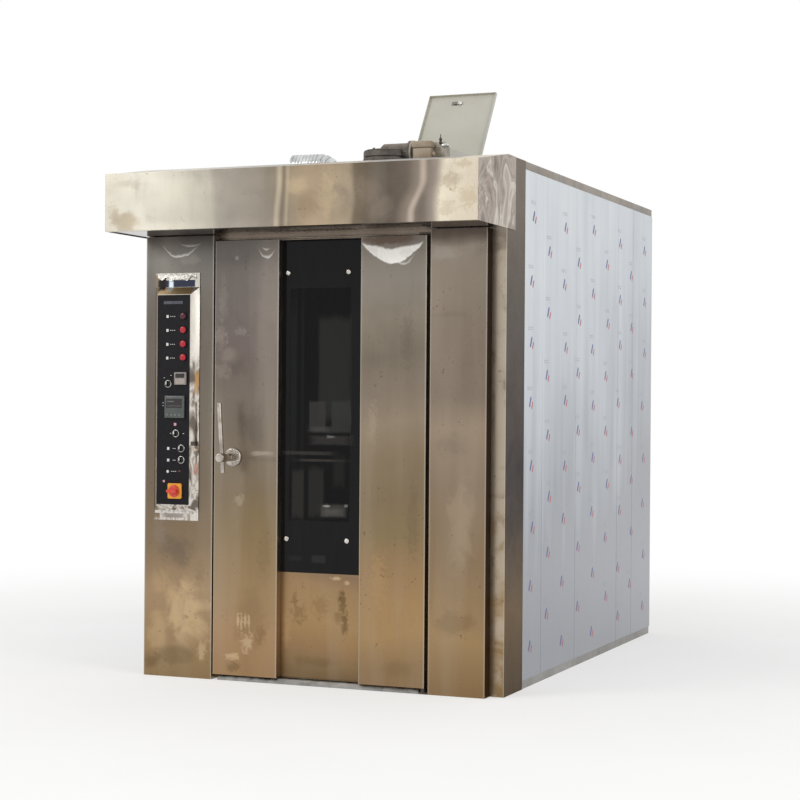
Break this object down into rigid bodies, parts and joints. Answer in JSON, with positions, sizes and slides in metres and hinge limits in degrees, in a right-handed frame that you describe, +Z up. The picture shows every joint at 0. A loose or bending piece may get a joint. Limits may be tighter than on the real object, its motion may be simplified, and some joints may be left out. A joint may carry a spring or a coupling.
{
  "type": "rotating rack oven",
  "caption": "Rotating rack oven: stainless cabinet with canopy, windowed pivot door, lever latch, turning rack carrier, roof gear motor and bevelled control panel.",
  "frame": {"origin": "centre of the whole footprint on the floor, canopy included", "axes": "+Z up, -Y out of the door towards the operator, +X to the operator's right when facing the door"},
  "size_m": [1.6666, 2.6802, 2.7036],
  "materials": {
    "galvanised_frame": "galvanised",
    "stainless_front": "brushed with faint oil-canning",
    "stainless_column": "brushed",
    "filmed_side": "stainless sheet under pale protective film",
    "galvanised_skin": "galvanised",
    "stainless_roof": "brushed",
    "stainless_inner": "mill finish",
    "mineral_wool": "fibrous",
    "heater_steel": "heat tinted",
    "cascade_iron": "rough",
    "blower_steel": "galvanised",
    "motor_grey": "semi-gloss",
    "stainless_hood": "polished with dents",
    "polished_underside": "mirror polished",
    "foil_hose": "bright corrugated foil",
    "cast_iron_grey": "painted cast",
    "bright_shaft": "turned",
    "motor_beige": "semi-gloss",
    "enclosure_paint": "fine textured powder coat",
    "polished_fittings": "polished",
    "stainless_door": "brushed",
    "dark_glass": "dark tempered",
    "clear_glass": "clear",
    "silicone_seal": "matt",
    "polished_bezel": "polished",
    "fascia_black": "satin film",
    "instrument_black": "gloss",
    "switch_yellow": "gloss",
    "switch_red": "gloss",
    "button_red": "gloss",
    "knob_black": "satin"
  },
  "bodies": {
    "cabinet": {"base_frame": "galvanised_frame", "front_frame": "stainless_front", "left_column": "stainless_column", "right_column": "stainless_column", "left_side_panel": "filmed_side", "right_side_panel": "filmed_side", "rear_panel": "galvanised_skin", "rear_service_cover": "galvanised_skin", "roof_rim": "stainless_roof", "roof_deck": "galvanised_skin", "chamber_liner": "stainless_inner", "insulation_jacket": "mineral_wool", "air_baffle": "stainless_inner", "heater_bank": "heater_steel", "steam_cascade": "cascade_iron", "fan_motor": "motor_grey", "hood_shell": "stainless_hood", "hood_underside": "polished_underside", "exhaust_duct": "foil_hose", "rotor_bearing": "cast_iron_grey", "gear_unit": "cast_iron_grey", "drive_motor": "motor_beige", "motor_terminal_box": "motor_beige", "enclosure_stand": "galvanised_frame", "enclosure_box": "enclosure_paint", "door_pivot_top": "galvanised_frame", "door_pivot_bottom": "galvanised_frame", "panel_frame": "polished_bezel", "panel_fascia": "fascia_black", "timer": "instrument_black", "temperature_controller": "instrument_black", "main_switch_plate": "switch_yellow"},
    "door": {"door_core": "stainless_inner", "door_stile_left": "stainless_door", "door_stile_right": "stainless_door", "door_lower_panel": "stainless_door", "door_outer_glass": "dark_glass", "door_inner_glass": "clear_glass", "door_gasket": "silicone_seal", "handle_rosette": "polished_fittings", "glass_standoff_1": "polished_fittings", "glass_standoff_2": "polished_fittings", "glass_standoff_3": "polished_fittings", "glass_standoff_4": "polished_fittings"},
    "handle": {"handle_spindle": "polished_fittings", "handle_bar": "polished_fittings"},
    "rotor": {"rotor_shaft": "bright_shaft", "rack_carrier": "stainless_inner"},
    "fan": {"fan_wheel": "blower_steel"},
    "lid": {"enclosure_lid": "enclosure_paint"},
    "lock": {"lid_lock": "polished_fittings"},
    "main_switch": {"main_switch_knob": "switch_red"},
    "button_1": {"push_button_1": "button_red"},
    "selector_1": {"selector_knob_1": "knob_black"},
    "button_2": {"push_button_2": "button_red"},
    "selector_2": {"selector_knob_2": "knob_black"},
    "button_3": {"push_button_3": "button_red"},
    "selector_3": {"selector_knob_3": "knob_black"},
    "button_4": {"push_button_4": "button_red"},
    "selector_4": {"selector_knob_4": "knob_black"}
  },
  "joints": [
    {"name": "door_swing", "type": "hinge", "parent": "cabinet", "child": "door", "pos_m": [0.495, -1.02515, 0], "axis": [0, 0, 1], "range_deg": [0, 110]},
    {"name": "handle_turn", "type": "hinge", "parent": "door", "child": "handle", "pos_m": [-0.377, -1.04015, 0.953], "axis": [0, 1, 0], "range_deg": [0, 90]},
    {"name": "rotor_turn", "type": "hinge", "parent": "cabinet", "child": "rotor", "pos_m": [0.018, -0.30515, 2], "axis": [0, 0, 1], "continuous": true},
    {"name": "fan_spin", "type": "hinge", "parent": "cabinet", "child": "fan", "pos_m": [0.018, 0.71485, 2], "axis": [0, 0, 1], "continuous": true},
    {"name": "lid_close", "type": "hinge", "parent": "cabinet", "child": "lid", "pos_m": [0.11, 0.21985, 2.351], "axis": [1, 0, 0], "range_deg": [0, 123]},
    {"name": "lock_turn", "type": "hinge", "parent": "lid", "child": "lock", "pos_m": [0.102, 0.41781, 2.65527], "axis": [0, 0.8387, -0.5446], "range_deg": [0, 90]},
    {"name": "button_1_press", "type": "slide", "parent": "cabinet", "child": "button_1", "axis": [0, 1, 0], "range_m": [0, 0.004], "stiffness_N_per_m": 300},
    {"name": "selector_1_turn", "type": "hinge", "parent": "cabinet", "child": "selector_1", "pos_m": [-0.673, -1.07615, 1.264], "axis": [0, 1, 0], "range_deg": [0, 90]},
    {"name": "button_2_press", "type": "slide", "parent": "cabinet", "child": "button_2", "axis": [0, 1, 0], "range_m": [0, 0.004], "stiffness_N_per_m": 300},
    {"name": "selector_2_turn", "type": "hinge", "parent": "cabinet", "child": "selector_2", "pos_m": [-0.634, -1.07615, 1.051], "axis": [0, 1, 0], "range_deg": [0, 90]},
    {"name": "button_3_press", "type": "slide", "parent": "cabinet", "child": "button_3", "axis": [0, 1, 0], "range_m": [0, 0.004], "stiffness_N_per_m": 300},
    {"name": "selector_3_turn", "type": "hinge", "parent": "cabinet", "child": "selector_3", "pos_m": [-0.607, -1.07615, 0.987], "axis": [0, 1, 0], "range_deg": [0, 90]},
    {"name": "button_4_press", "type": "slide", "parent": "cabinet", "child": "button_4", "axis": [0, 1, 0], "range_m": [0, 0.004], "stiffness_N_per_m": 300},
    {"name": "selector_4_turn", "type": "hinge", "parent": "cabinet", "child": "selector_4", "pos_m": [-0.607, -1.07615, 0.938], "axis": [0, 1, 0], "range_deg": [0, 90]},
    {"name": "main_switch_turn", "type": "hinge", "parent": "cabinet", "child": "main_switch", "pos_m": [-0.635, -1.09015, 0.804], "axis": [0, 1, 0], "range_deg": [0, 90]}
  ]
}
